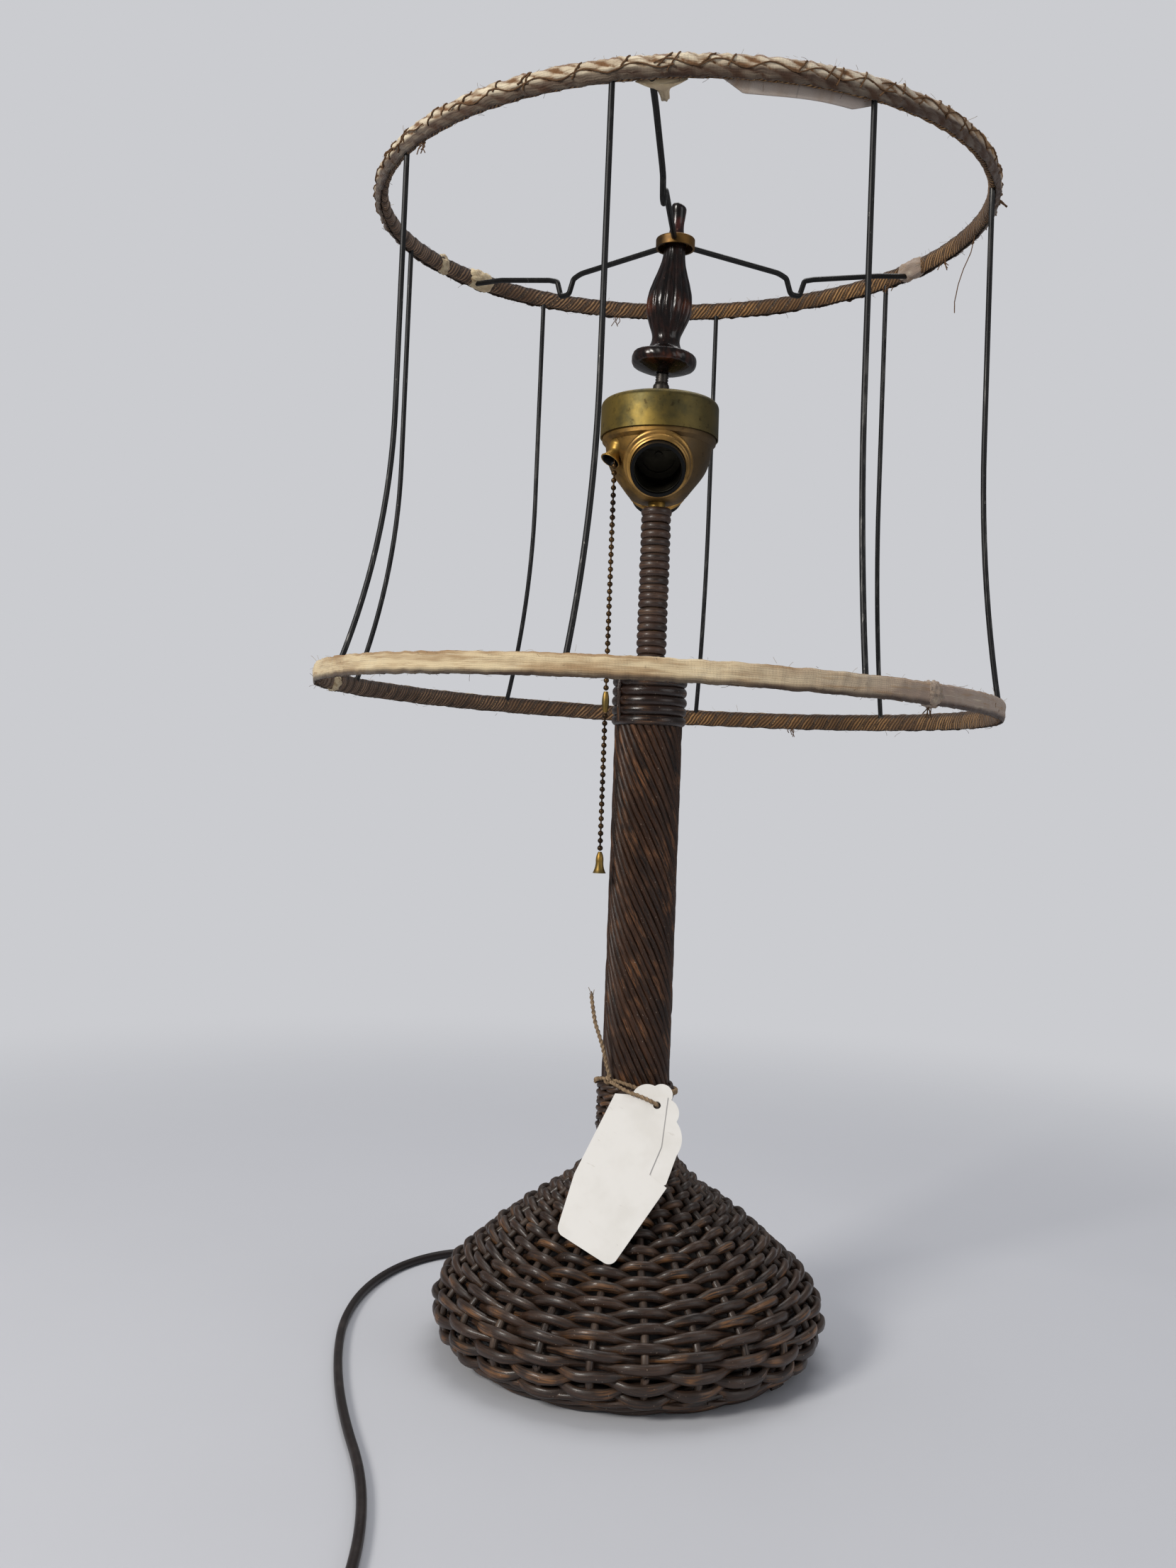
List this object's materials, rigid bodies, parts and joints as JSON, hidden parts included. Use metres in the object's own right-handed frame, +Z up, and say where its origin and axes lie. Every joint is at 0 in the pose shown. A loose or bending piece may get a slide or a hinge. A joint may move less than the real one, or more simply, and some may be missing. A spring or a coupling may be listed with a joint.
{
  "type": "table lamp with shade",
  "caption": "Wicker table lamp: woven domed base, reed-wrapped column, brass twin-socket cluster with pull chain, turned spindle and finial, and a bare wire shade frame.",
  "frame": {"origin": "centre of the base's flat underside, on the surface that it stands on", "axes": "+Z up the column; -Y to the front, where the front socket looks; +X to the right"},
  "size_m": [0.3968, 0.6104, 0.6757],
  "materials": {
    "felt": "worn dark felt",
    "board": "plain turned wood, hidden under the weave",
    "wicker": "dark brown stained reed, old glossy varnish",
    "steel": "plain steel, slightly dulled",
    "wire_insulation": "black insulation",
    "brass": "aged brass, dull gold brown with dark stains",
    "shell_brass": "cleaner brass",
    "hub_brass": "dull aged brass",
    "rod_brass": "dark aged brass",
    "chain_brass": "aged bead chain",
    "sleeve": "black insulating sleeve",
    "contact": "dull contact over its insulating disc",
    "mahogany": "near-black red brown, polished",
    "arm_black": "black wire, worn paint",
    "frame_wire": "dark wire with worn light streaks",
    "tape": "tan wound cotton tape, aged",
    "silk": "off-white silk remnant, aged",
    "card": "blank white card",
    "twine": "jute twine",
    "cord": "dark brown flexible cord",
    "tie": "black band",
    "plug": "dark brown moulded plug"
  },
  "bodies": {
    "lamp": {"base_felt": "felt", "base_board": "board", "base_weave": "wicker", "base_border": "wicker", "base_stakes": "wicker", "foot_rings": "wicker", "column_core": "board", "column_reeds": "wicker", "collar_rings": "wicker", "neck_wraps": "wicker", "center_pipe": "steel", "pipe_nuts": "steel", "inner_wires": "wire_insulation", "cluster_bowl": "brass", "cluster_cap": "brass", "front_socket_collar": "brass", "rear_socket_collar": "brass", "front_socket_sleeve": "sleeve", "rear_socket_sleeve": "sleeve", "front_screw_shell": "shell_brass", "rear_screw_shell": "shell_brass", "socket_contacts": "contact", "chain_spout": "brass", "switch_body": "sleeve", "riser_rod": "rod_brass", "rod_nuts": "rod_brass", "spindle": "mahogany", "twine_loop": "twine", "cord_relief": "cord", "cord_lead": "cord", "cord_coil": "cord", "coil_tie": "tie", "plug_body": "plug", "plug_blades": "shell_brass"},
    "shade": {"spider_hub": "hub_brass", "spider_arm_near": "arm_black", "spider_arm_left": "arm_black", "spider_arm_right": "arm_black", "top_hoop": "frame_wire", "bottom_hoop": "frame_wire", "top_binding": "tape", "bottom_binding": "tape", "top_silk": "silk", "bottom_silk": "silk", "shade_strut_1": "frame_wire", "shade_strut_2": "frame_wire", "shade_strut_3": "frame_wire", "shade_strut_4": "frame_wire", "shade_strut_5": "frame_wire", "shade_strut_6": "frame_wire", "shade_strut_7": "frame_wire", "shade_strut_8": "frame_wire"},
    "finial": {"finial": "mahogany"},
    "switch_wheel": {"switch_wheel": "shell_brass"},
    "switch_pull": {"pull_wire": "steel"},
    "pull_chain": {"chain_beads": "chain_brass", "chain_connector": "chain_brass", "chain_bell": "chain_brass"},
    "tag": {"tag_cards": "card", "twine_run": "twine"}
  },
  "joints": [
    {"name": "shade_turn", "type": "hinge", "parent": "lamp", "child": "shade", "pos_m": [0.00535, 0, 0.6475], "axis": [0, 0, 1], "continuous": true},
    {"name": "finial_turn", "type": "hinge", "parent": "lamp", "child": "finial", "pos_m": [0.00596, 0, 0.65681], "axis": [0.0628, 0, 0.998], "continuous": true},
    {"name": "chain_pull", "type": "slide", "parent": "lamp", "child": "switch_pull", "axis": [0, 0, -1], "range_m": [0, 0.008], "stiffness_N_per_m": 600, "springref_m": -0.003},
    {"name": "switch_wheel_turn", "type": "hinge", "parent": "lamp", "child": "switch_wheel", "pos_m": [-0.02031, -0.0137, 0.5375], "axis": [0.5592, -0.829, 0], "range_deg": [0, 76.4]},
    {"name": "chain_swing", "type": "hinge", "parent": "switch_pull", "child": "pull_chain", "pos_m": [-0.02529, -0.01706, 0.50975], "axis": [-0.5592, 0.829, 0], "range_deg": [0, 40]},
    {"name": "tag_swing", "type": "hinge", "parent": "lamp", "child": "tag", "pos_m": [-0.01579, -0.01754, 0.1574], "axis": [-1, 0, 0], "range_deg": [0, 40]}
  ],
  "couplings": [
    {"joint": "switch_wheel_turn", "follows": "chain_pull", "rad_per_m": 166.67}
  ]
}
